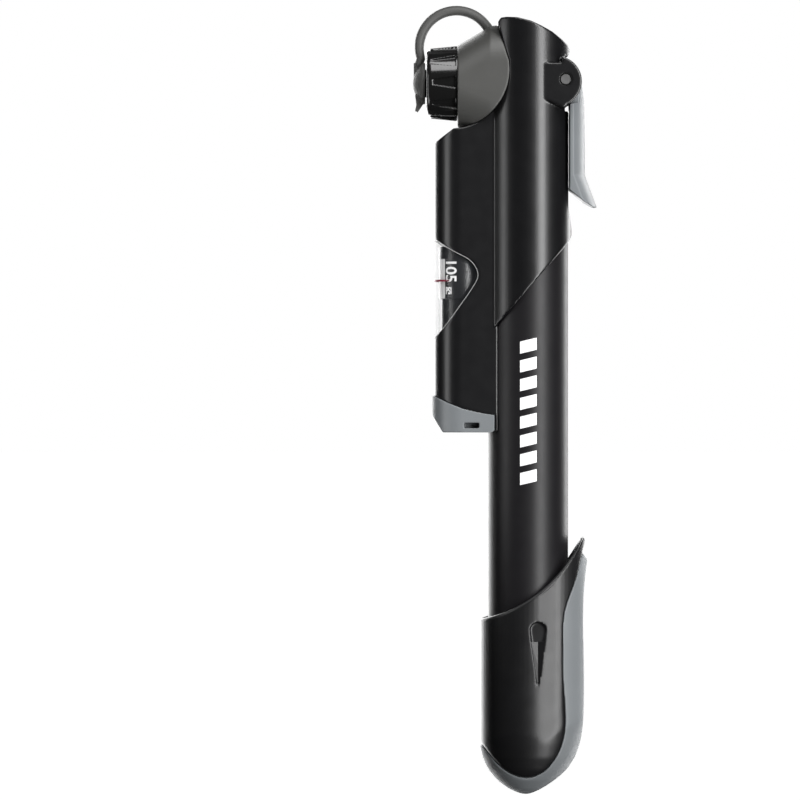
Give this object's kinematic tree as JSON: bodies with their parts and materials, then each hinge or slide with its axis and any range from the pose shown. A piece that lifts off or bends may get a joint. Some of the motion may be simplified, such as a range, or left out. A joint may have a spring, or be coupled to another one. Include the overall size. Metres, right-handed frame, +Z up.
{
  "type": "bicycle hand pump",
  "caption": "Hand pump for bicycle tyres: black barrel in a moulded body with a windowed pressure gauge, side nozzle with cap, lock lever and a rubber-backed pull handle.",
  "frame": {"origin": "on the barrel axis, halfway along the bare stretch of barrel that the frame clip holds", "axes": "+Z up along the barrel towards the head, +X from the nozzle side to the lever side, Y across; XZ is the symmetry plane"},
  "size_m": [0.0552, 0.0288, 0.2365],
  "materials": {
    "body_black": "satin injection-moulded black plastic",
    "barrel_black": "black satin anodised aluminium tube",
    "bush": "dark moulded plastic",
    "cover_grey": "matt dark grey moulded plastic",
    "inner_black": "black moulded plastic",
    "seal_rubber": "black sealing rubber",
    "steel": "plain steel",
    "ring_black": "gloss black moulded plastic",
    "alloy": "turned aluminium",
    "lever_grey": "mid grey satin plastic",
    "clear": "clear moulded window",
    "index_red": "red printed line",
    "drum_white": "white drum with a black printed scale",
    "cap_rubber": "soft dark grey moulded rubber",
    "handle_black": "satin black moulded plastic",
    "grip_rubber": "mid grey moulded soft grip",
    "piston_white": "natural white plastic"
  },
  "bodies": {
    "head": {"main_body": "body_black", "barrel": "barrel_black", "barrel_bush": "bush", "head_cover": "cover_grey", "chuck_body": "inner_black", "chuck_gasket": "seal_rubber", "lever_pin": "steel", "valve_seat": "bush", "valve_disc": "seal_rubber", "valve_spring": "steel", "barrel_seal": "seal_rubber", "gauge_lens": "clear", "gauge_index": "index_red", "gauge_core": "inner_black", "gauge_spring": "steel", "gauge_end_cap": "lever_grey", "cap_tether": "cap_rubber"},
    "handle": {"handle_shell": "handle_black", "handle_grip": "grip_rubber", "piston_rod": "alloy", "piston_head": "piston_white", "piston_seal": "seal_rubber", "stroke_bumper": "seal_rubber", "rod_screw": "steel"},
    "lever_arm": {"lever": "lever_grey"},
    "plunger": {"chuck_plunger": "alloy", "plunger_seal": "seal_rubber"},
    "gauge_slider": {"gauge_drum": "drum_white", "gauge_piston": "alloy", "gauge_piston_seal": "seal_rubber"},
    "ring_screw": {"slip_washer": "steel"},
    "ring": {"lock_ring": "ring_black"},
    "cap": {"dust_cap": "cap_rubber"}
  },
  "joints": [
    {"name": "handle_pull", "type": "slide", "parent": "head", "child": "handle", "axis": [0, 0, -1], "range_m": [0, 0.128]},
    {"name": "lever_flip", "type": "hinge", "parent": "head", "child": "lever_arm", "pos_m": [0.0111, 0, 0.1212], "axis": [0, -1, 0], "range_deg": [0, 90]},
    {"name": "plunger_push", "type": "slide", "parent": "head", "child": "plunger", "axis": [-1, 0, 0], "range_m": [0, 0.00135]},
    {"name": "gauge_travel", "type": "slide", "parent": "head", "child": "gauge_slider", "axis": [0, 0, -1], "range_m": [0, 0.0117], "stiffness_N_per_m": 3500, "deforming": ["gauge_spring"]},
    {"name": "ring_advance", "type": "slide", "parent": "head", "child": "ring_screw", "axis": [-1, 0, 0], "range_m": [0, 0.00025]},
    {"name": "ring_turn", "type": "hinge", "parent": "ring_screw", "child": "ring", "pos_m": [-0.026, 0, 0.1204], "axis": [-1, 0, 0], "range_deg": [0, 60]},
    {"name": "cap_swing", "type": "hinge", "parent": "head", "child": "cap", "pos_m": [-0.0328, 0, 0.1272], "axis": [0, 1, 0], "range_deg": [0, 130], "deforming": ["cap_tether"]}
  ],
  "couplings": [
    {"joint": "plunger_push", "follows": "lever_flip", "m_per_rad": 0.000828},
    {"joint": "ring_advance", "follows": "ring_turn", "m_per_rad": 0.0002387}
  ]
}
